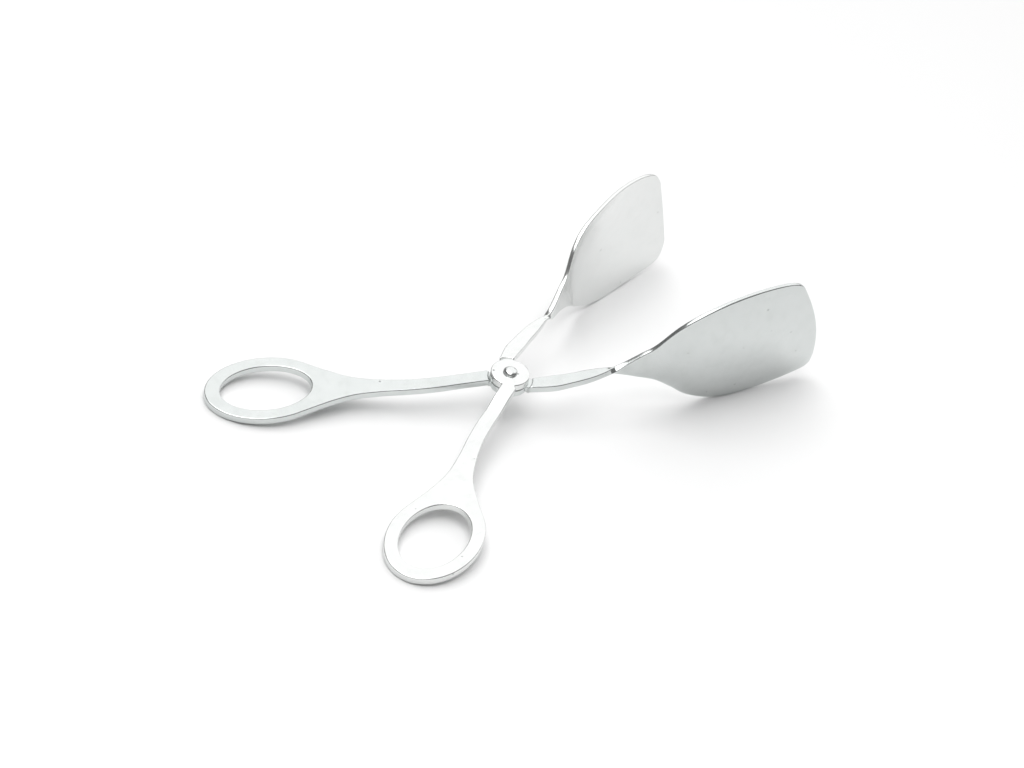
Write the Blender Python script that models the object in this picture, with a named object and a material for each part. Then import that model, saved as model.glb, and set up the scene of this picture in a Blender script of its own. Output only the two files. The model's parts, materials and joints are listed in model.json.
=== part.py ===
"""Scissor-action serving tongs of stainless steel.

Two one-piece levers cross at a rivet. Each lever runs from an oval finger ring along a flat bar to
a round ear at the pivot, and on through a tapering neck, which turns on edge, to a broad hollowed
blade. The levers are mirror copies, except at the pivot: the upper one arches over the lower one,
whose ear is set a little down. Away from the pivot both are on one level.

Units are metres. The tongs rest half open on z = 0, blades towards +X, with the rings and the heels
of the blades on the ground. A lever is drawn in its own frame: origin on the pivot axis, +X towards
the blade, +Y towards the other blade, +Z up through the rivet head.
"""

import math

import bmesh
import bpy
from mathutils import Matrix, Vector

MM = 0.001

# Pivot
HALF_OPENING = math.radians(30.2)
BAR_THICKNESS = 2.6 * MM
PIVOT_GAP = 0.3 * MM
UPPER_EAR_LEVEL = 2.2 * MM
LOWER_EAR_LEVEL = UPPER_EAR_LEVEL - BAR_THICKNESS - PIVOT_GAP
UPPER_ARCH_LEVEL = 1.8 * MM
EAR_RADIUS = 6.8 * MM
STEP_INNER_RADIUS = 7.2 * MM
STEP_OUTER_RADIUS = 8.3 * MM
ARCH_END_RADIUS = 17.0 * MM
RIVET_HOLE_RADIUS = 1.9 * MM
SHANK_RADIUS = 1.6 * MM
HEAD_RADIUS = 2.6 * MM
HEAD_HEIGHT = 1.3 * MM
HEAD_RIM = 0.2 * MM
SET_HEAD_HEIGHT = 0.8 * MM
SET_HEAD_CHAMFER = 0.35 * MM

# Finger ring: two tilted ellipses about one centre
RING_DISTANCE = 84.0 * MM
RING_TILT = math.radians(10.5)
HOLE_RADII = (15.9 * MM, 10.4 * MM)
RING_RADII = (21.2 * MM, 14.9 * MM)
BAR_JOINS_RING = (math.radians(42.0), math.radians(-70.0))

# Bar: its two edges between the ring and the pivot, as (x, y)
BAR_OUTER_EDGE = [(-63.0, 8.2), (-54.0, 3.7), (-44.5, 1.9), (-35.0, 1.3), (-26.0, 1.8), (-17.0, 2.8)]
BAR_INNER_EDGE = [(-63.0, -7.8), (-54.0, -5.2), (-44.5, -4.3), (-35.0, -4.1), (-26.0, -3.5), (-17.0, -2.3)]
BAR_AT_EAR = (math.radians(150.0), math.radians(188.5))

# Neck and blade: stations of the edge that rises to the blade's top, and of the edge that falls
NECK_AT_EAR = (math.radians(-42.5), math.radians(-5.5))
RISING_EDGE = [
    (15.0, -5.6, 0.0), (21.5, -4.2, 0.0), (28.5, -2.2, 0.0), (34.0, 0.1, 0.0), (37.5, 1.9, 0.3),
    (41.0, 3.1, 1.7), (47.5, 3.9, 5.6), (52.5, 4.3, 8.7), (59.0, 4.2, 16.2), (66.0, 5.3, 20.5),
    (76.0, 8.2, 23.4), (87.0, 11.7, 24.8), (98.0, 15.9, 24.2), (106.0, 19.4, 22.3),
    (109.6, 21.1, 20.3), (111.3, 22.0, 17.3),
]
FALLING_EDGE = [
    (15.0, 0.1, 0.0), (21.5, 0.9, 0.0), (28.5, 2.3, 0.0), (34.0, 3.0, -0.1), (37.2, 3.4, -0.8),
    (41.0, 3.9, -2.4), (48.0, 4.4, -4.7), (55.0, 5.5, -7.5), (61.5, 6.3, -11.6), (68.5, 7.3, -16.6),
    (79.0, 11.0, -22.0), (90.0, 15.0, -24.5), (105.0, 20.8, -25.2), (117.0, 25.9, -25.0),
    (121.9, 27.2, -22.8), (123.1, 27.3, -18.0),
]
SHEET_THICKNESS = [2.6, 2.6, 2.6, 2.5, 2.3, 2.0, 1.7, 1.5, 1.5, 1.5, 1.5, 1.5, 1.5, 1.5, 1.5, 1.5]
HOLLOW_DEPTH = [0.0, 0.0, 0.0, 0.0, 0.0, 0.0, 0.3, 0.9, 1.8, 2.6, 3.2, 3.2, 2.6, 1.8, 1.4, 1.1]
TIP_BOW = 1.8 * MM

# Mesh
COLUMNS = 8
RING_FREE_SEGMENTS = 26
BAR_ROWS = 20
ROWS_PER_STATION = 2
EAR_FREE_SEGMENTS = 9
RIVET_SEGMENTS = 32
DOME_STEPS = 6
DIRECTION_STEP = 0.2
SHARP_FROM = math.radians(35.0)

STEEL_COLOUR = (0.80, 0.80, 0.79, 1.0)
LEVER_ROUGHNESS = 0.16
RIVET_ROUGHNESS = 0.20


def clear_scene():
    for obj in list(bpy.data.objects):
        bpy.data.objects.remove(obj, do_unlink=True)


def steel(name, roughness):
    material = bpy.data.materials.new(name)
    material.use_nodes = True
    shader = material.node_tree.nodes["Principled BSDF"]
    shader.inputs["Base Color"].default_value = STEEL_COLOUR
    shader.inputs["Metallic"].default_value = 1.0
    shader.inputs["Roughness"].default_value = roughness
    return material


def finished_mesh(name, shape):
    mesh = bpy.data.meshes.new(name)
    shape.to_mesh(mesh)
    shape.free()
    mesh.shade_smooth()
    mesh.set_sharp_from_angle(angle=SHARP_FROM)
    return mesh


def smooth_point(points, place):
    """The point at a place, counted in stations, on a smooth curve through the points."""
    last = len(points) - 1
    index = min(int(place), last - 1)
    part = place - index
    here = points[index]
    there = points[index + 1]
    before = points[index - 1] if index > 0 else here * 2.0 - there
    after = points[index + 2] if index + 2 <= last else there * 2.0 - here
    leave = (there - before) * 0.5
    arrive = (after - here) * 0.5
    square = part * part
    cube = square * part
    return (here * (2.0 * cube - 3.0 * square + 1.0) + leave * (cube - 2.0 * square + part)
            + there * (3.0 * square - 2.0 * cube) + arrive * (cube - square))


def arc(radius, angles, count):
    """Points along a circle about the pivot, from the first angle to the second."""
    first, second = angles
    row = []
    for step in range(count + 1):
        angle = first + (second - first) * step / count
        row.append(Vector((radius * math.cos(angle), radius * math.sin(angle), 0.0)))
    return row


def ring_point(radii, angle):
    """A point on one of the finger ring's ellipses, the angle counted from the bar's side."""
    flat = Vector((radii[0] * math.cos(angle), radii[1] * math.sin(angle), 0.0))
    return Matrix.Rotation(RING_TILT, 3, "Z") @ flat + Vector((-RING_DISTANCE, 0.0, 0.0))


def blend_rows(first, last, left, right):
    """Rows that pass from the first to the last, with their ends on the two given edges."""
    rows = []
    count = len(left) - 1
    columns = len(first) - 1
    for step in range(count + 1):
        part = step / count
        row = [a.lerp(b, part) for a, b in zip(first, last)]
        left_shift = left[step] - row[0]
        right_shift = right[step] - row[-1]
        for column in range(columns + 1):
            across = column / columns
            row[column] = row[column] + left_shift * (1.0 - across) + right_shift * across
        rows.append(row)
    return rows


class Sheet:
    """The middle surface of a lever. Each point also holds half the metal's thickness there."""

    def __init__(self):
        self.mesh = bmesh.new()
        self.half = self.mesh.verts.layers.float_vector.new("half")

    def point(self, place, half=Vector((0.0, 0.0, BAR_THICKNESS / 2))):
        vertex = self.mesh.verts.new(place)
        vertex[self.half] = half
        return vertex

    def row(self, places, half=Vector((0.0, 0.0, BAR_THICKNESS / 2))):
        return [self.point(place, half) for place in places]

    def join(self, one, other):
        for a, b, c, d in zip(one, one[1:], other[1:], other):
            self.mesh.faces.new((a, b, c, d))

    def solid(self):
        """Gives the sheet its thickness: a copy on the far side, and walls round every edge."""
        top = self.mesh.verts[:]
        made = bmesh.ops.extrude_face_region(self.mesh, geom=self.mesh.faces[:], use_keep_orig=True)
        bottom = [item for item in made["geom"] if isinstance(item, bmesh.types.BMVert)]
        for vertex in top:
            vertex.co += vertex[self.half]
        for vertex in bottom:
            vertex.co -= vertex[self.half]
        bmesh.ops.recalc_face_normals(self.mesh, faces=self.mesh.faces[:])
        return self.mesh


def add_ring(sheet):
    """The finger ring. Returns the points of its rim that the bar starts from."""
    start, end = BAR_JOINS_RING
    joined = [start + (end - start) * step / COLUMNS for step in range(COLUMNS + 1)]
    way_round = 2.0 * math.pi - (start - end)
    free = [end - way_round * step / RING_FREE_SEGMENTS for step in range(1, RING_FREE_SEGMENTS)]
    angles = joined + free
    rim = sheet.row([ring_point(RING_RADII, angle) for angle in angles])
    hole = sheet.row([ring_point(HOLE_RADII, angle) for angle in angles])
    sheet.join(rim + rim[:1], hole + hole[:1])
    return rim[:COLUMNS + 1]


def add_ear(sheet, level):
    """The round ear with its rivet hole. Returns its rim where the bar and the neck start."""
    bar_start, bar_end = BAR_AT_EAR
    neck_start, neck_end = NECK_AT_EAR
    spans = [
        (bar_start, bar_end, COLUMNS),
        (bar_end, neck_start + 2.0 * math.pi, EAR_FREE_SEGMENTS),
        (neck_start + 2.0 * math.pi, neck_end + 2.0 * math.pi, COLUMNS),
        (neck_end + 2.0 * math.pi, bar_start + 2.0 * math.pi, EAR_FREE_SEGMENTS),
    ]
    angles = []
    for start, end, count in spans:
        angles += [start + (end - start) * step / count for step in range(count)]
    rim = []
    hole = []
    for angle in angles:
        direction = Vector((math.cos(angle), math.sin(angle), 0.0))
        rim.append(sheet.point(direction * EAR_RADIUS + level))
        hole.append(sheet.point(direction * RIVET_HOLE_RADIUS + level))
    sheet.join(rim + rim[:1], hole + hole[:1])
    neck_first = COLUMNS + EAR_FREE_SEGMENTS
    return rim[:COLUMNS + 1], rim[neck_first:neck_first + COLUMNS + 1]


def add_step(sheet, ear_rim, angles, level, arch):
    """The step round the ear, from its own level to the arch's. Returns its outer row."""
    inner = sheet.row([place + level for place in arc(STEP_INNER_RADIUS, angles, COLUMNS)])
    outer = sheet.row([place + arch for place in arc(STEP_OUTER_RADIUS, angles, COLUMNS)])
    sheet.join(ear_rim, inner)
    sheet.join(inner, outer)
    return outer


def on_arch(place, arch):
    """A place on the common level, lifted onto the arch that comes down away from the pivot."""
    part = (Vector((place.x, place.y)).length - STEP_OUTER_RADIUS) / (ARCH_END_RADIUS - STEP_OUTER_RADIUS)
    part = min(1.0, max(0.0, part))
    return place + arch * (1.0 - part * part * (3.0 - 2.0 * part))


def edge_curve(start, points, end, count):
    """Points along a smooth bar edge that passes through the given ones."""
    stations = [start] + [Vector((x * MM, y * MM, 0.0)) for x, y in points] + [end]
    last = len(stations) - 1
    return [smooth_point(stations, last * step / count) for step in range(count + 1)]


def add_bar(sheet, ring_rim, step_row, arch):
    """The bar between the finger ring and the step."""
    first = [vertex.co.copy() for vertex in ring_rim]
    last = [vertex.co - arch for vertex in step_row]
    outer = edge_curve(first[0], BAR_OUTER_EDGE, last[0], BAR_ROWS)
    inner = edge_curve(first[-1], BAR_INNER_EDGE, last[-1], BAR_ROWS)
    before = ring_rim
    for places in blend_rows(first, last, outer, inner)[1:-1]:
        row = sheet.row([on_arch(place, arch) for place in places])
        sheet.join(before, row)
        before = row
    sheet.join(before, step_row)


def number_at(values, place):
    """A value between stations, read from a straight line."""
    index = min(int(place), len(values) - 2)
    return values[index] + (values[index + 1] - values[index]) * (place - index)


def add_neck_and_blade(sheet, step_row, arch):
    """The neck, which turns on edge, and the blade, hollowed on the side of the other blade."""
    start = [vertex.co - arch for vertex in step_row]
    rising = [start[0]] + [Vector(point) * MM for point in RISING_EDGE]
    falling = [start[-1]] + [Vector(point) * MM for point in FALLING_EDGE]
    thickness = SHEET_THICKNESS[:1] + SHEET_THICKNESS
    depth = HOLLOW_DEPTH[:1] + HOLLOW_DEPTH
    stations = len(rising) - 1
    count = stations * ROWS_PER_STATION
    bulge = [place - start[0].lerp(start[-1], column / COLUMNS) for column, place in enumerate(start)]
    before = step_row
    for step in range(1, count + 1):
        place = stations * step / count
        top = smooth_point(rising, place)
        low = smooth_point(falling, place)
        behind = smooth_point(rising, place - DIRECTION_STEP) + smooth_point(falling, place - DIRECTION_STEP)
        along = (top + low - behind).normalized()
        inward = (top - low).cross(along).normalized()
        half = inward * (number_at(thickness, place) * MM / 2)
        hollow = inward * (number_at(depth, place) * MM)
        bow = along * TIP_BOW * max(0.0, 1.0 - (stations - place) / 2.0)
        row = []
        for column in range(COLUMNS + 1):
            across = column / COLUMNS
            crown = 4.0 * across * (1.0 - across)
            root = bulge[column] * max(0.0, 1.0 - place)
            middle = top.lerp(low, across) - hollow * crown + bow * crown + root
            row.append(sheet.point(on_arch(middle, arch), half))
        sheet.join(before, row)
        before = row


def lever_mesh(name, side):
    """One lever. Side is +1 for the ear on top, on the lever that is drawn mirrored, else -1."""
    level = Vector((0.0, 0.0, UPPER_EAR_LEVEL if side > 0 else LOWER_EAR_LEVEL))
    arch = Vector((0.0, 0.0, UPPER_ARCH_LEVEL if side > 0 else 0.0))
    sheet = Sheet()
    ring_rim = add_ring(sheet)
    bar_rim, neck_rim = add_ear(sheet, level)
    add_bar(sheet, ring_rim, add_step(sheet, bar_rim, BAR_AT_EAR, level, arch), arch)
    add_neck_and_blade(sheet, add_step(sheet, neck_rim, NECK_AT_EAR, level, arch), arch)
    solid = sheet.solid()
    if side > 0:
        for vertex in solid.verts:
            vertex.co.y = -vertex.co.y
        bmesh.ops.reverse_faces(solid, faces=solid.faces[:])
    return finished_mesh(name, solid)


def rivet_mesh(name):
    """The rivet, turned about the pivot axis: domed head on top, set head below."""
    seat = UPPER_EAR_LEVEL + BAR_THICKNESS / 2 + PIVOT_GAP
    low_seat = LOWER_EAR_LEVEL - BAR_THICKNESS / 2 - PIVOT_GAP
    profile = [
        (0.0, low_seat - SET_HEAD_HEIGHT),
        (HEAD_RADIUS - SET_HEAD_CHAMFER, low_seat - SET_HEAD_HEIGHT),
        (HEAD_RADIUS, low_seat - SET_HEAD_HEIGHT + SET_HEAD_CHAMFER),
        (HEAD_RADIUS, low_seat),
        (SHANK_RADIUS, low_seat),
        (SHANK_RADIUS, seat),
        (HEAD_RADIUS, seat),
    ]
    dome_height = HEAD_HEIGHT - HEAD_RIM
    for step in range(DOME_STEPS):
        angle = math.pi / 2 * step / DOME_STEPS
        profile.append((HEAD_RADIUS * math.cos(angle), seat + HEAD_RIM + dome_height * math.sin(angle)))
    profile.append((0.0, seat + HEAD_HEIGHT))
    turned = bmesh.new()
    line = [turned.verts.new((radius, 0.0, height)) for radius, height in profile]
    edges = [turned.edges.new(pair) for pair in zip(line, line[1:])]
    bmesh.ops.spin(turned, geom=line + edges, axis=(0.0, 0.0, 1.0), cent=(0.0, 0.0, 0.0),
                   angle=2.0 * math.pi, steps=RIVET_SEGMENTS, use_merge=True)
    bmesh.ops.remove_doubles(turned, verts=turned.verts[:], dist=0.01 * MM)
    bmesh.ops.recalc_face_normals(turned, faces=turned.faces[:])
    return finished_mesh(name, turned)


def resting_tilt(points):
    """The tilt at which the rings and the blades stand on one level, for (x, z) points."""
    low = 0.0
    high = math.radians(30.0)
    for _ in range(40):
        tilt = (low + high) / 2
        heights = [(x, x * math.sin(tilt) + z * math.cos(tilt)) for x, z in points]
        rings = min(height for x, height in heights if x < 0.0)
        blades = min(height for x, height in heights if x > 0.0)
        if blades < rings:
            low = tilt
        else:
            high = tilt
    return tilt


def place(name, mesh, material, turn, parent):
    mesh.materials.append(material)
    obj = bpy.data.objects.new(name, mesh)
    bpy.context.scene.collection.objects.link(obj)
    obj.parent = parent
    obj.rotation_euler = (0.0, 0.0, turn)
    return obj


def main():
    clear_scene()
    upper = lever_mesh("upper_lever", 1)
    lower = lever_mesh("lower_lever", -1)
    rivet = rivet_mesh("pivot_rivet")

    spread = [(vertex.co.x * math.cos(HALF_OPENING) + vertex.co.y * math.sin(HALF_OPENING), vertex.co.z)
              for vertex in lower.vertices]
    tilt = resting_tilt(spread)
    forward = [x * math.cos(tilt) - z * math.sin(tilt) for x, z in spread]
    upward = [x * math.sin(tilt) + z * math.cos(tilt) for x, z in spread]

    pivot = bpy.data.objects.new("pivot_frame", None)
    bpy.context.scene.collection.objects.link(pivot)
    pivot.location = (-(min(forward) + max(forward)) / 2, 0.0, -min(upward))
    pivot.rotation_euler = (0.0, -tilt, 0.0)

    place("upper_lever", upper, steel("polished_steel_upper", LEVER_ROUGHNESS), HALF_OPENING, pivot)
    place("lower_lever", lower, steel("polished_steel_lower", LEVER_ROUGHNESS), -HALF_OPENING, pivot)
    place("pivot_rivet", rivet, steel("polished_steel_rivet", RIVET_ROUGHNESS), 0.0, pivot)


main()
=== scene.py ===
import json
import math

import bmesh
import bpy
from mathutils import Matrix, Quaternion, Vector, geometry, kdtree


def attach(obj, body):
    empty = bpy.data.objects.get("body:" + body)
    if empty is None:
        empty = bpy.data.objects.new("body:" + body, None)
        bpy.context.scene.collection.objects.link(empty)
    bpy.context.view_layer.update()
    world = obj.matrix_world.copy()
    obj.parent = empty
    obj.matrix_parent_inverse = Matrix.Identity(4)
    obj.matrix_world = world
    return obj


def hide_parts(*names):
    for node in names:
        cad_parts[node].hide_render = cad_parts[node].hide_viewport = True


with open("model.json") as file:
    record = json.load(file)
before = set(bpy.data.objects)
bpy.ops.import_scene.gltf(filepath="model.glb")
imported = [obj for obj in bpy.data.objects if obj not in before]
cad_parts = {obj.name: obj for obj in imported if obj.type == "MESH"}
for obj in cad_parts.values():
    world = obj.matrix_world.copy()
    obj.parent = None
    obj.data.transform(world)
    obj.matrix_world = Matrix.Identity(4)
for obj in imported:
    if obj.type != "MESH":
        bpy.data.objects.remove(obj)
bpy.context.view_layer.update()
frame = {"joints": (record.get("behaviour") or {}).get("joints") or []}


# ---------------------------------------------------------------------------------------------
# The two levers. Each is one stamping of 18/10 stainless strip: blanked with its finger ring and
# its ear, joggled at the ear, twisted on edge at the neck and pressed hollow at the blade, and
# then tumbled and polished all over, so every edge is a little round.
MM = 0.001

# A lever is drawn in its own frame: origin on the pivot, +X to the blade, +Y to the other blade.
HALF_OPENING = math.radians(30.2)
BAR_THICKNESS = 2.6 * MM
EAR_GAP = 0.1 * MM
UPPER_EAR_LEVEL = 2.2 * MM
LOWER_EAR_LEVEL = UPPER_EAR_LEVEL - BAR_THICKNESS - EAR_GAP
EAR_RADIUS = 6.75 * MM
RIVET_HOLE_RADIUS = 1.9 * MM

# The coined steps round the ears, as (radius, level) in mm. The upper lever arches over the lower
# one and comes down to the common level; a groove sets its neck off from its ear.
UPPER_BAR_STEPS = [(7.2, 2.2), (7.7, 2.17), (8.3, 2.05)]
UPPER_NECK_STEPS = [(6.95, 1.5), (7.1, 0.95), (7.4, 0.7), (7.7, 0.95), (7.85, 1.5), (8.05, 1.83), (8.3, 1.85)]
LOWER_BAR_STEPS = [(7.1, -0.5), (7.25, -0.46), (7.4, -0.1), (7.55, -0.01), (7.7, 0.0), (8.3, 0.0)]
LOWER_NECK_STEPS = [(7.6, -0.5), (7.85, -0.48), (8.0, -0.4), (8.15, -0.08), (8.3, 0.0)]
ARCH_END_RADIUS = 21.0 * MM

RING_DISTANCE = 84.0 * MM
RING_TILT = math.radians(10.5)
HOLE_RADII = (15.9 * MM, 10.4 * MM)
RING_RADII = (21.2 * MM, 14.9 * MM)
BAR_JOINS_RING = (math.radians(42.0), math.radians(-70.0))
JOINT_BULGE = 9.5 * MM

# Stations along the edges of the bar, and then of the neck and blade, as places in mm. The sheet
# thickness and the depth of the hollow are in mm too, one for each station of the blade's edges.
BAR_OUTER_EDGE = [(-63.0, 8.2), (-54.0, 3.7), (-44.5, 1.9), (-35.0, 1.3), (-26.0, 1.8), (-17.0, 2.8)]
BAR_INNER_EDGE = [(-63.0, -7.8), (-54.0, -5.2), (-44.5, -4.3), (-35.0, -4.1), (-26.0, -3.5), (-17.0, -2.3)]
BAR_AT_EAR = (math.radians(150.0), math.radians(188.5))

NECK_AT_EAR = (math.radians(-42.5), math.radians(-5.5))
RISING_EDGE = [
    (15.0, -5.6, 0.0), (21.5, -4.2, 0.0), (28.5, -2.2, 0.0), (34.0, 0.1, 0.0), (37.5, 1.9, 0.3),
    (41.0, 3.1, 1.7), (47.5, 3.9, 5.6), (52.5, 4.3, 8.7), (59.0, 4.2, 16.2), (66.0, 5.3, 20.5),
    (76.0, 8.2, 23.4), (87.0, 11.7, 24.8), (97.0, 15.5, 24.3), (104.6, 18.8, 22.5),
    (109.0, 20.9, 19.8), (111.9, 22.3, 15.3),
]
FALLING_EDGE = [
    (15.0, 0.1, 0.0), (21.5, 0.9, 0.0), (28.5, 2.3, 0.0), (34.0, 3.0, -0.1), (37.2, 3.4, -0.8),
    (41.0, 3.9, -2.4), (48.0, 4.4, -4.7), (55.0, 5.5, -7.5), (61.5, 6.3, -11.6), (68.5, 7.3, -16.6),
    (79.0, 11.0, -22.0), (90.0, 15.0, -24.5), (105.0, 20.8, -25.2), (117.0, 25.9, -25.0),
    (121.9, 27.2, -22.8), (123.1, 27.3, -18.0),
]
SHEET_THICKNESS = [2.6, 2.6, 2.6, 2.5, 2.3, 2.0, 1.7, 1.5, 1.5, 1.5, 1.5, 1.5, 1.5, 1.5, 1.5, 1.5]
HOLLOW_DEPTH = [0.0, 0.0, 0.0, 0.0, 0.0, 0.0, 0.3, 0.9, 1.8, 2.6, 3.2, 3.2, 2.6, 1.8, 1.4, 1.1]
TIP_BOW = 1.8 * MM
BOWED_STATIONS = 2.0
DIRECTION_STEP = 0.2

EDGE_ROUND = 0.42 * MM
EDGE_STEPS = 4
EDGE_SUPPORT = 1.35
PLAIN_COLUMNS = 16
COLUMNS = PLAIN_COLUMNS + 2 * (EDGE_STEPS + 1)
RING_PLAIN_COLUMNS = 6
RING_FREE_SEGMENTS = 84
EAR_FREE_SEGMENTS = 26
BAR_ROWS = 90
ROWS_PER_STATION = 10
TIP_ROUND = 0.1
WELD_DISTANCE = 0.002 * MM


def row_fractions(width, plain):
    """How far across a row its columns stand: close together at the two rounded edges."""
    near = [EDGE_ROUND * (1.0 - math.cos(math.pi / 2 * step / EDGE_STEPS)) for step in range(EDGE_STEPS)]
    near.append(EDGE_ROUND)
    start = EDGE_ROUND * EDGE_SUPPORT
    middle = [start + (width - 2.0 * start) * step / plain for step in range(plain + 1)]
    half = [distance / width for distance in near]
    return half + [distance / width for distance in middle] + [1.0 - part for part in reversed(half)]


def smooth_value(stations, place):
    """The value at a place, counted in stations, on a smooth curve through the stations."""
    last = len(stations) - 1
    index = min(int(place), last - 1)
    part = place - index
    here = stations[index]
    there = stations[index + 1]
    before = stations[index - 1] if index > 0 else here * 2.0 - there
    after = stations[index + 2] if index + 2 <= last else there * 2.0 - here
    leave = (there - before) * 0.5
    arrive = (after - here) * 0.5
    square = part * part
    cube = square * part
    return (here * (2.0 * cube - 3.0 * square + 1.0) + leave * (cube - 2.0 * square + part)
            + there * (3.0 * square - 2.0 * cube) + arrive * (cube - square))


def arc(radius, angles, plain):
    """A row of places on a circle about the pivot, from the first angle to the second."""
    first, second = angles
    turns = row_fractions(radius * abs(second - first), plain)
    places = []
    for turn in turns:
        angle = first + (second - first) * turn
        places.append(Vector((radius * math.cos(angle), radius * math.sin(angle), 0.0)))
    return places


def ring_point(radii, angle):
    flat = Vector((radii[0] * math.cos(angle), radii[1] * math.sin(angle), 0.0))
    return Matrix.Rotation(RING_TILT, 3, "Z") @ flat + Vector((-RING_DISTANCE, 0.0, 0.0))


def lay(sheet, rows, halves):
    """Lays a grid of faces on rows of places. Each point also holds half the metal there."""
    columns = len(rows[0]) - 1
    made = bmesh.ops.create_grid(sheet, x_segments=columns, y_segments=len(rows) - 1, size=0.5)
    half = sheet.verts.layers.float_vector["half"]
    for vertex in made["verts"]:
        column = round((vertex.co.x + 0.5) * columns)
        row = round((vertex.co.y + 0.5) * (len(rows) - 1))
        vertex.co = rows[row][column]
        vertex[half] = halves[row]


def lay_flat(sheet, rows):
    lay(sheet, rows, [Vector((0.0, 0.0, BAR_THICKNESS / 2))] * len(rows))


def joint_curve(start, end, parts):
    """The line where the ring's metal becomes the bar's, bulging towards the bar."""
    first = ring_point(RING_RADII, start)
    last = ring_point(RING_RADII, end)
    towards_bar = Vector((0.0, 0.0, 1.0)).cross(last - first).normalized()
    places = []
    for part in parts:
        bulge = JOINT_BULGE * math.sin(math.pi * part) ** 2
        places.append(first.lerp(last, part) + towards_bar * bulge)
    return places


def lay_ring(sheet):
    start, end = BAR_JOINS_RING
    width = (ring_point(RING_RADII, start) - ring_point(RING_RADII, end)).length
    joint_parts = row_fractions(width, PLAIN_COLUMNS)
    angles = [start + (end - start) * part for part in joint_parts]
    rims = joint_curve(start, end, joint_parts)
    way_round = 2.0 * math.pi - (start - end)
    for step in range(1, RING_FREE_SEGMENTS + 1):
        angles.append(end - way_round * step / RING_FREE_SEGMENTS)
        rims.append(ring_point(RING_RADII, angles[-1]))
    rows = []
    for angle, rim in zip(angles, rims):
        hole = ring_point(HOLE_RADII, angle)
        parts = row_fractions((rim - hole).length, RING_PLAIN_COLUMNS)
        rows.append([rim.lerp(hole, part) for part in parts])
    lay_flat(sheet, rows)
    return [row[0] for row in rows[:COLUMNS + 1]]


def lay_ear(sheet, level):
    bar_start, bar_end = BAR_AT_EAR
    neck_start, neck_end = NECK_AT_EAR
    turn = 2.0 * math.pi
    free_parts = [step / EAR_FREE_SEGMENTS for step in range(EAR_FREE_SEGMENTS + 1)]
    bar_parts = row_fractions(EAR_RADIUS * (bar_end - bar_start), PLAIN_COLUMNS)
    neck_parts = row_fractions(EAR_RADIUS * (neck_end - neck_start), PLAIN_COLUMNS)
    angles = []
    spans = [
        (bar_start, bar_end, bar_parts),
        (bar_end, neck_start + turn, free_parts),
        (neck_start + turn, neck_end + turn, neck_parts),
        (neck_end + turn, bar_start + turn, free_parts),
    ]
    for start, end, parts in spans:
        angles += [start + (end - start) * part for part in parts[:-1]]
    angles.append(bar_start + turn)
    parts = row_fractions(EAR_RADIUS - RIVET_HOLE_RADIUS, RING_PLAIN_COLUMNS)
    radii = [EAR_RADIUS + (RIVET_HOLE_RADIUS - EAR_RADIUS) * part for part in parts]
    rows = []
    for angle in angles:
        direction = Vector((math.cos(angle), math.sin(angle), 0.0))
        rows.append([direction * radius + level for radius in radii])
    lay_flat(sheet, rows)


def lay_steps(sheet, angles, level, steps):
    """The coined steps from the ear's rim out to the start of the bar or the neck."""
    rows = [[place + level for place in arc(EAR_RADIUS, angles, PLAIN_COLUMNS)]]
    for radius, height in steps:
        lift = Vector((0.0, 0.0, height * MM))
        rows.append([place + lift for place in arc(radius * MM, angles, PLAIN_COLUMNS)])
    lay_flat(sheet, rows)
    return rows[-1]


def on_arch(place, start):
    """A place on the common level, lifted onto the arch that comes down away from the pivot."""
    root = Vector((start[0].x, start[0].y)).length
    part = (Vector((place.x, place.y)).length - root) / (ARCH_END_RADIUS - root)
    part = min(1.0, max(0.0, part))
    return place + Vector((0.0, 0.0, start[0].z * (1.0 - part * part * (3.0 - 2.0 * part))))


def flattened(row):
    return [Vector((place.x, place.y, 0.0)) for place in row]


def edge_curve(start, points, end, count):
    stations = [start] + [Vector((x * MM, y * MM, 0.0)) for x, y in points] + [end]
    last = len(stations) - 1
    return [smooth_value(stations, last * step / count) for step in range(count + 1)]


def bulges(row):
    """How far each place of a row stands from the straight line between the row's ends."""
    parts = row_fractions((row[0] - row[-1]).length, PLAIN_COLUMNS)
    return [place - row[0].lerp(row[-1], part) for place, part in zip(row, parts)]


def lay_bar(sheet, ring_row, start):
    foot = flattened(start)
    outer = edge_curve(ring_row[0], BAR_OUTER_EDGE, foot[0], BAR_ROWS)
    inner = edge_curve(ring_row[-1], BAR_INNER_EDGE, foot[-1], BAR_ROWS)
    at_ring = bulges(ring_row)
    at_ear = bulges(foot)
    rows = []
    for step in range(BAR_ROWS + 1):
        part = step / BAR_ROWS
        parts = row_fractions((outer[step] - inner[step]).length, PLAIN_COLUMNS)
        row = []
        for across, ring_bulge, ear_bulge in zip(parts, at_ring, at_ear):
            place = outer[step].lerp(inner[step], across) + ring_bulge * (1.0 - part) ** 2 + ear_bulge * part
            row.append(on_arch(place, start))
        rows.append(row)
    lay_flat(sheet, rows)


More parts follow.
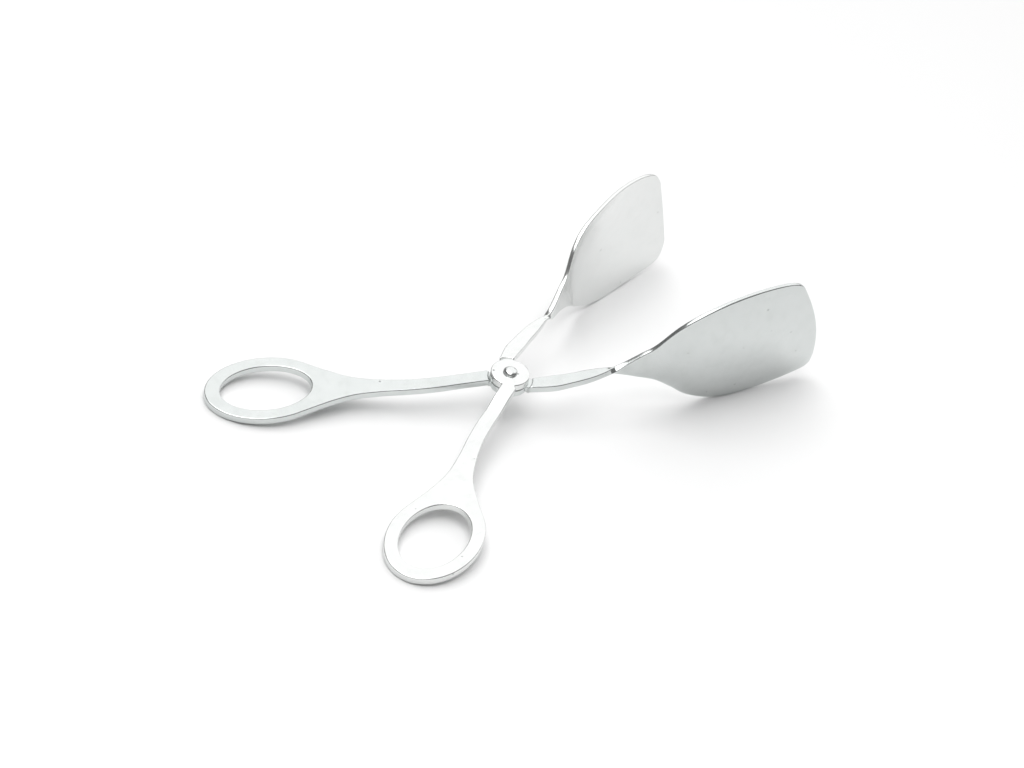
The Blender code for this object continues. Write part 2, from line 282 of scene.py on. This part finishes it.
def lay_neck_and_blade(sheet, start):
    """The neck, which turns on edge, and the blade, hollowed on the side of the other blade."""
    foot = flattened(start)
    rising = [foot[0]] + [Vector(point) * MM for point in RISING_EDGE]
    falling = [foot[-1]] + [Vector(point) * MM for point in FALLING_EDGE]
    thickness = SHEET_THICKNESS[:1] + SHEET_THICKNESS
    depth = HOLLOW_DEPTH[:1] + HOLLOW_DEPTH
    stations = len(rising) - 1
    places = [step / ROWS_PER_STATION for step in range(stations * ROWS_PER_STATION)]
    for step in range(1, EDGE_STEPS + 1):
        places.append(stations - TIP_ROUND * (1.0 - math.sin(math.pi / 2 * step / EDGE_STEPS)))
    root = bulges(foot)
    rows = []
    halves = []
    for place in places:
        top = smooth_value(rising, place)
        low = smooth_value(falling, place)
        back = max(0.0, place - DIRECTION_STEP)
        ahead = min(stations, back + DIRECTION_STEP)
        along = (smooth_value(rising, ahead) + smooth_value(falling, ahead)
                 - smooth_value(rising, back) - smooth_value(falling, back)).normalized()
        inward = (top - low).cross(along).normalized()
        hollow = inward * (max(0.0, smooth_value(depth, place)) * MM)
        bow = along * TIP_BOW * max(0.0, 1.0 - (stations - place) / BOWED_STATIONS)
        row = []
        for part, bulge in zip(row_fractions((top - low).length, PLAIN_COLUMNS), root):
            crown = 4.0 * part * (1.0 - part)
            middle = top.lerp(low, part) + (bow - hollow) * crown + bulge * max(0.0, 1.0 - place)
            row.append(on_arch(middle, start))
        rows.append(row)
        halves.append(inward * (smooth_value(thickness, place) * MM / 2))
    lay(sheet, rows, halves)


def round_edges(sheet):
    """Thins the metal towards its free edges, as a quarter of a circle on each face."""
    half = sheet.verts.layers.float_vector["half"]
    border = [vertex for vertex in sheet.verts if vertex.is_boundary]
    tree = kdtree.KDTree(len(border))
    for number, vertex in enumerate(border):
        tree.insert(vertex.co, number)
    tree.balance()
    for vertex in sheet.verts:
        nearest, distance = tree.find(vertex.co)[1:]
        for edge in border[nearest].link_edges:
            if edge.is_boundary:
                a, b = (corner.co for corner in edge.verts)
                foot, part = geometry.intersect_point_line(vertex.co, a, b)
                if 0.0 <= part <= 1.0:
                    distance = min(distance, (vertex.co - foot).length)
        if distance < EDGE_ROUND:
            full = vertex[half].length
            short = 1.0 - distance / EDGE_ROUND
            fall = EDGE_ROUND * (1.0 - math.sqrt(max(0.0, 1.0 - short * short)))
            vertex[half] = vertex[half] * ((full - fall) / full)


def lever(name, side):
    """One lever. Side is +1 for the ear on top, on the lever that is drawn mirrored, else -1."""
    sheet = bmesh.new()
    half = sheet.verts.layers.float_vector.new("half")
    level = Vector((0.0, 0.0, UPPER_EAR_LEVEL if side > 0 else LOWER_EAR_LEVEL))
    bar_steps = UPPER_BAR_STEPS if side > 0 else LOWER_BAR_STEPS
    neck_steps = UPPER_NECK_STEPS if side > 0 else LOWER_NECK_STEPS
    ring_row = lay_ring(sheet)
    lay_ear(sheet, level)
    lay_bar(sheet, ring_row, lay_steps(sheet, BAR_AT_EAR, level, bar_steps))
    lay_neck_and_blade(sheet, lay_steps(sheet, NECK_AT_EAR, level, neck_steps))
    bmesh.ops.remove_doubles(sheet, verts=sheet.verts[:], dist=WELD_DISTANCE)
    round_edges(sheet)
    top = sheet.verts[:]
    made = bmesh.ops.extrude_face_region(sheet, geom=sheet.faces[:], use_keep_orig=True)
    bottom = [item for item in made["geom"] if isinstance(item, bmesh.types.BMVert)]
    for vertex in top:
        vertex.co += vertex[half]
    for vertex in bottom:
        vertex.co -= vertex[half]
    if side > 0:
        bmesh.ops.scale(sheet, verts=sheet.verts[:], vec=(1.0, -1.0, 1.0))
    bmesh.ops.recalc_face_normals(sheet, faces=sheet.faces[:])
    bmesh.ops.rotate(sheet, verts=sheet.verts[:], cent=(0.0, 0.0, 0.0),
                     matrix=Matrix.Rotation(side * HALF_OPENING, 3, "Z"))
    return finish_piece(name, sheet)


# The pivot's place and direction come from the frame's one joint.
pivot = frame["joints"][0]
pivot_place = Vector(pivot["pos_m"])
pivot_turn = Vector((0.0, 0.0, 1.0)).rotation_difference(Vector(pivot["axis"]))
on_the_pivot = Matrix.Translation(pivot_place) @ pivot_turn.to_matrix().to_4x4()


def finish_piece(name, shape):
    """Puts a shape drawn about the pivot in its place, and makes it an object."""
    bmesh.ops.transform(shape, matrix=on_the_pivot, verts=shape.verts[:])
    mesh = bpy.data.meshes.new(name)
    shape.to_mesh(mesh)
    shape.free()
    mesh.shade_smooth()
    piece = bpy.data.objects.new(name, mesh)
    bpy.context.scene.collection.objects.link(piece)
    return piece


def linear(hex_colour):
    """An sRGB hex colour as linear red, green, blue and alpha."""
    values = []
    for start in (1, 3, 5):
        part = int(hex_colour[start:start + 2], 16) / 255.0
        values.append(part / 12.92 if part <= 0.04045 else ((part + 0.055) / 1.055) ** 2.4)
    return (*values, 1.0)


def add_node(tree, kind, inputs, **settings):
    """Adds a node with its settings, and with a value or a link at each of the inputs given."""
    node = tree.nodes.new(kind)
    for name, value in settings.items():
        setattr(node, name, value)
    for name, value in inputs.items():
        if isinstance(value, bpy.types.NodeSocket):
            tree.links.new(value, node.inputs[name])
        else:
            node.inputs[name].default_value = value
    return node


# The sizes of the steel's marks. Real grain is about 0.05 mm apart; it is drawn wider, to show.
GRAIN_SPACING = 0.35 * MM
GRAIN_SHORTNESS = 0.06
GRAIN_HEIGHT = 0.004 * MM
CLOUD_SIZE = 9.0 * MM
BLOTCH_SIZE = 4.0 * MM
PEEL_SIZE = 2.2 * MM
PEEL_HEIGHT = 0.01 * MM
SPECK_SPACING = 7.0 * MM
SPECK_COLOUR = "#7C807F"
BRIGHTEST_POLISH = 0.17
DULLEST_POLISH = 0.27

# Each steel where it is dull, where it is bright and where it is blotched. The two stampings are one
# steel in a lit and a shaded copy: the lower lever's colours are painted darker, as painted shade, and the
# upper lever's lighter, as painted light.
LIT_UPPER_STEEL = ("#DDDFDE", "#E7E8E7", "#D3D5D4")
SHADED_LOWER_STEEL = ("#CCD0CF", "#D9DCDB", "#C3C7C5")


def polished_stainless(name, turn, colours):
    """Stainless steel, tumbled and then polished on a soft wheel: bright and nearly white, with a
    fine grain along the piece, a soft cloudiness where the wheel pressed more or less, faint
    blotches of old washing water, and a few pin-prick specks from use."""
    dull_colour, bright_colour, blotch_colour = colours
    material = bpy.data.materials.new(name)
    material.use_nodes = True
    tree = material.node_tree
    shader = tree.nodes["Principled BSDF"]
    shader.inputs["Metallic"].default_value = 1.0
    place = add_node(tree, "ShaderNodeTexCoord", {}).outputs["Object"]
    along = add_node(tree, "ShaderNodeMapping", {
        "Vector": place, "Rotation": (0.0, 0.0, -turn), "Scale": (GRAIN_SHORTNESS, 1.0, 1.0)})
    grain = add_node(tree, "ShaderNodeTexNoise", {
        "Vector": along.outputs["Vector"], "Scale": 1.0 / GRAIN_SPACING, "Detail": 3.0, "Roughness": 0.6})
    clouds = add_node(tree, "ShaderNodeTexNoise", {
        "Vector": place, "Scale": 1.0 / CLOUD_SIZE, "Detail": 4.0, "Roughness": 0.55})
    peel = add_node(tree, "ShaderNodeTexNoise", {
        "Vector": place, "Scale": 1.0 / PEEL_SIZE, "Detail": 2.0, "Roughness": 0.5})
    blotches = add_node(tree, "ShaderNodeTexNoise", {
        "Vector": place, "Scale": 1.0 / BLOTCH_SIZE, "Detail": 6.0, "Roughness": 0.65})
    specks = add_node(tree, "ShaderNodeTexVoronoi", {"Vector": place, "Scale": 1.0 / SPECK_SPACING})
    steel = add_node(tree, "ShaderNodeMix", data_type="RGBA", inputs={
        "Factor": clouds.outputs["Fac"], "A": linear(dull_colour), "B": linear(bright_colour)})
    in_blotch = add_node(tree, "ShaderNodeMapRange", {
        "Value": blotches.outputs["Fac"], "From Min": 0.48, "From Max": 0.7, "To Min": 0.0, "To Max": 0.3})
    blotched = add_node(tree, "ShaderNodeMix", data_type="RGBA", inputs={
        "Factor": in_blotch.outputs["Result"], "A": steel.outputs["Result"], "B": linear(blotch_colour)})
    in_speck = add_node(tree, "ShaderNodeMapRange", {
        "Value": specks.outputs["Distance"], "From Min": 0.045, "From Max": 0.075, "To Min": 0.55,
        "To Max": 0.0})
    speckled = add_node(tree, "ShaderNodeMix", data_type="RGBA", inputs={
        "Factor": in_speck.outputs["Result"], "A": blotched.outputs["Result"], "B": linear(SPECK_COLOUR)})
    polish = add_node(tree, "ShaderNodeMapRange", {
        "Value": clouds.outputs["Fac"], "From Min": 0.3, "From Max": 0.7, "To Min": BRIGHTEST_POLISH,
        "To Max": DULLEST_POLISH})
    fine = add_node(tree, "ShaderNodeBump", {
        "Height": grain.outputs["Fac"], "Strength": 0.25, "Distance": GRAIN_HEIGHT})
    soft = add_node(tree, "ShaderNodeBump", {
        "Height": peel.outputs["Fac"], "Strength": 0.3, "Distance": PEEL_HEIGHT,
        "Normal": fine.outputs["Normal"]})
    tree.links.new(speckled.outputs["Result"], shader.inputs["Base Color"])
    tree.links.new(polish.outputs["Result"], shader.inputs["Roughness"])
    tree.links.new(soft.outputs["Normal"], shader.inputs["Normal"])
    return material


upper_lever = lever("upper_lever_stamping", 1)
upper_steel = polished_stainless("polished_stainless_upper", HALF_OPENING, LIT_UPPER_STEEL)
upper_lever.data.materials.append(upper_steel)
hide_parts("upper_lever")
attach(upper_lever, "upper_body")

# The lower lever takes the darker colours, painted shade for the darker reflections on its blade.
lower_lever = lever("lower_lever_stamping", -1)
lower_steel = polished_stainless("polished_stainless_lower", -HALF_OPENING, SHADED_LOWER_STEEL)
lower_lever.data.materials.append(lower_steel)
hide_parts("lower_lever")
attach(lower_lever, "lower_body")


# ---------------------------------------------------------------------------------------------
# The rivet. A turned stainless pin through both ears: its domed head shows on top, and its tail
# is pressed to a low button below. It is set just loose enough for the levers to turn.
SHANK_RADIUS = 1.6 * MM
HEAD_RADIUS = 2.45 * MM
HEAD_HEIGHT = 1.5 * MM
HEAD_RIM = 0.25 * MM
BUTTON_HEIGHT = 0.9 * MM
RIVET_GAP = 0.03 * MM
HEAD_CHAMFER = 0.06 * MM
HEAD_SHARP_FROM = math.radians(50.0)
DOME_STEPS = 14
RIVET_SEGMENTS = 96
RIVET_STEEL = ("#D6D8D8", "#E1E3E2", "#CBCECD")


def dome(radius, rim, height, seat):
    """The outline of a domed head, from its rim up to its crown, as (radius, height)."""
    outline = [(radius - HEAD_CHAMFER, seat), (radius, seat + HEAD_CHAMFER)]
    for step in range(DOME_STEPS):
        angle = math.pi / 2 * step / DOME_STEPS
        outline.append((radius * math.cos(angle), seat + rim + (height - rim) * math.sin(angle)))
    outline.append((0.0, seat + height))
    return outline


def rivet(name):
    seat = UPPER_EAR_LEVEL + BAR_THICKNESS / 2 + RIVET_GAP
    low_seat = BAR_THICKNESS / 2 - LOWER_EAR_LEVEL + RIVET_GAP
    head = dome(HEAD_RADIUS, HEAD_RIM, HEAD_HEIGHT, seat)
    button = dome(HEAD_RADIUS, HEAD_RIM, BUTTON_HEIGHT, low_seat)
    outline = [(radius, -height) for radius, height in reversed(button)]
    outline += [(SHANK_RADIUS, -low_seat), (SHANK_RADIUS, seat)] + head
    turned = bmesh.new()
    line = [turned.verts.new((radius, 0.0, height)) for radius, height in outline]
    edges = [turned.edges.new(pair) for pair in zip(line, line[1:])]
    bmesh.ops.spin(turned, geom=line + edges, axis=(0.0, 0.0, 1.0), cent=(0.0, 0.0, 0.0),
                   angle=2.0 * math.pi, steps=RIVET_SEGMENTS, use_merge=True)
    bmesh.ops.remove_doubles(turned, verts=turned.verts[:], dist=WELD_DISTANCE)
    bmesh.ops.recalc_face_normals(turned, faces=turned.faces[:])
    piece = finish_piece(name, turned)
    piece.data.set_sharp_from_angle(angle=HEAD_SHARP_FROM)
    return piece


pivot_rivet = rivet("domed_rivet")
pivot_rivet.data.materials.append(polished_stainless("polished_stainless_rivet", 0.0, RIVET_STEEL))
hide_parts("pivot_rivet")
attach(pivot_rivet, "lower_body")


# ---------------------------------------------------------------------------------------------
# The studio: a sheet of white card under the tongs, a big soft lamp high over the rings, a
# smaller one behind on the left, and one large bright screen beyond the blades in an otherwise
# dim room. The camera looks down over the rings.
FLOOR_SIZE = 6.0
CARD_COLOUR = "#F4F4F4"
CARD_ROUGHNESS = 0.9

# The lamps: name, direction, height over the horizon, size across and power
LAMP_DISTANCE = 2.4
LAMPS = [
    ("front_lamp", math.radians(-165.0), math.radians(70.0), 2.0, 32.0),
    ("back_lamp", math.radians(110.0), math.radians(62.0), 1.3, 11.0),
]

SCREEN_AZIMUTH = math.radians(25.0)
SCREEN_ELEVATION = math.radians(47.0)
SCREEN_FADES_AT = 0.6
SCREEN_FULL_AT = 0.86
SCREEN_LIGHT = 1.31
DARK_SIDE = 0.18

CAMERA_AZIMUTH = math.radians(-144.285)
CAMERA_ELEVATION = math.radians(35.065)
CAMERA_ROLL = math.radians(17.03)
CAMERA_DISTANCE = 0.991
CAMERA_TARGET = Vector((-15.04, -2.16, 13.25)) * MM
CAMERA_LENS = 102.4
CAMERA_SENSOR_WIDTH = 36.0


def from_middle(azimuth, elevation):
    return Vector((math.cos(elevation) * math.cos(azimuth), math.cos(elevation) * math.sin(azimuth),
                   math.sin(elevation)))


floor_shape = bmesh.new()
bmesh.ops.create_grid(floor_shape, x_segments=1, y_segments=1, size=FLOOR_SIZE / 2)
floor_mesh = bpy.data.meshes.new("white_card")
floor_shape.to_mesh(floor_mesh)
floor_shape.free()
floor = bpy.data.objects.new("white_card", floor_mesh)
bpy.context.scene.collection.objects.link(floor)
card = bpy.data.materials.new("matt_white_card")
card.use_nodes = True
card.node_tree.nodes["Principled BSDF"].inputs["Base Color"].default_value = linear(CARD_COLOUR)
card.node_tree.nodes["Principled BSDF"].inputs["Roughness"].default_value = CARD_ROUGHNESS
floor_mesh.materials.append(card)

for lamp_name, azimuth, elevation, size, power in LAMPS:
    lamp_data = bpy.data.lights.new(lamp_name, "AREA")
    lamp_data.shape = "DISK"
    lamp_data.size = size
    lamp_data.energy = power
    lamp = bpy.data.objects.new(lamp_name, lamp_data)
    lamp.location = from_middle(azimuth, elevation) * LAMP_DISTANCE
    lamp.rotation_euler = lamp.location.to_track_quat("Z", "Y").to_euler()
    bpy.context.scene.collection.objects.link(lamp)

world = bpy.data.worlds.new("white_room")
world.use_nodes = True
bpy.context.scene.world = world
room = world.node_tree
direction = add_node(room, "ShaderNodeTexCoord", {}).outputs["Generated"]
nearness = add_node(room, "ShaderNodeVectorMath", operation="DOT_PRODUCT", inputs={
    0: direction, 1: from_middle(SCREEN_AZIMUTH, SCREEN_ELEVATION)})
light = add_node(room, "ShaderNodeMapRange", interpolation_type="SMOOTHSTEP", inputs={
    "Value": nearness.outputs["Value"], "From Min": SCREEN_FADES_AT, "From Max": SCREEN_FULL_AT,
    "To Min": DARK_SIDE, "To Max": SCREEN_LIGHT})
room.links.new(light.outputs["Result"], room.nodes["Background"].inputs["Strength"])
room.nodes["Background"].inputs["Color"].default_value = linear("#FFFFFF")

camera_data = bpy.data.cameras.new("camera")
camera_data.lens = CAMERA_LENS
camera_data.sensor_width = CAMERA_SENSOR_WIDTH
camera = bpy.data.objects.new("camera", camera_data)
towards_camera = from_middle(CAMERA_AZIMUTH, CAMERA_ELEVATION)
camera.location = CAMERA_TARGET + towards_camera * CAMERA_DISTANCE
camera.rotation_mode = "QUATERNION"
camera.rotation_quaternion = towards_camera.to_track_quat("Z", "Y") @ Quaternion((0.0, 0.0, 1.0), CAMERA_ROLL)
bpy.context.scene.collection.objects.link(camera)
bpy.context.scene.camera = camera
bpy.context.scene.view_settings.view_transform = "Standard"
